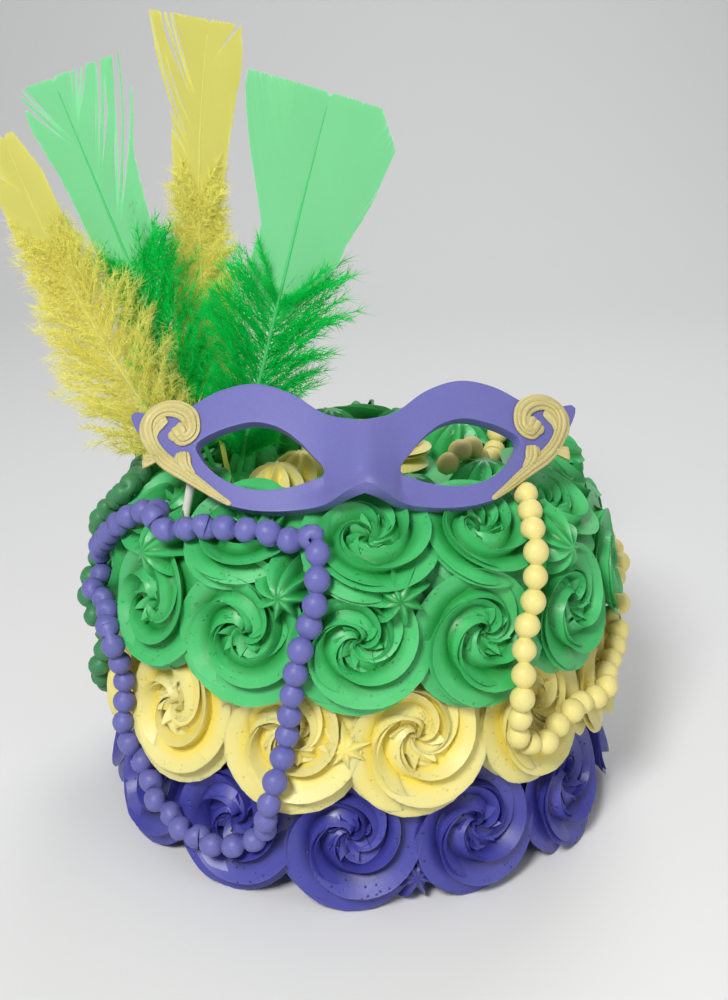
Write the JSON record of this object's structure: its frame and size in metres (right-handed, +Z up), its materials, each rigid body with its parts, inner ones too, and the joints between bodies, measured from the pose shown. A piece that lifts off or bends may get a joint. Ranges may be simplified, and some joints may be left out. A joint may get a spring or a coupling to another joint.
{
  "type": "decorated layer cake",
  "caption": "Round layer cake piped all over with rosettes in purple, yellow and green bands, topped with a half mask, feathers and bead strands.",
  "frame": {"origin": "centre of the flat bottom that the cake rests on", "axes": "+Z up; -Y is the front, where the mask looks; +X is to the right as seen from the front"},
  "size_m": [0.2513, 0.2204, 0.3125],
  "materials": {
    "frosting_purple": "satin piped buttercream, deep purple",
    "frosting_yellow": "satin piped buttercream, yellow",
    "frosting_green": "satin piped buttercream, green",
    "fondant_purple": "smooth satin fondant, lilac purple",
    "gilt": "moulded sugar paste dusted pale gold",
    "stick": "white stick, matt",
    "beads_purple": "moulded fondant beads, purple",
    "beads_yellow": "moulded fondant beads, yellow",
    "beads_green": "moulded fondant beads, dark green",
    "feather_yellow": "dyed feather, yellow",
    "feather_green": "dyed feather, green"
  },
  "bodies": {
    "root": {"tier_purple": "frosting_purple", "tier_yellow": "frosting_yellow", "tier_green": "frosting_green", "swirl_yellow_top": "frosting_yellow", "mask": "fondant_purple", "scroll_left": "gilt", "scroll_right": "gilt", "stick_left": "stick", "stick_right": "stick", "feather_yellow_left": "feather_yellow", "feather_green_left": "feather_green", "feather_yellow_middle": "feather_yellow", "feather_green_right": "feather_green", "beads_purple": "beads_purple", "beads_yellow": "beads_yellow", "beads_green": "beads_green"}
  },
  "joints": []
}
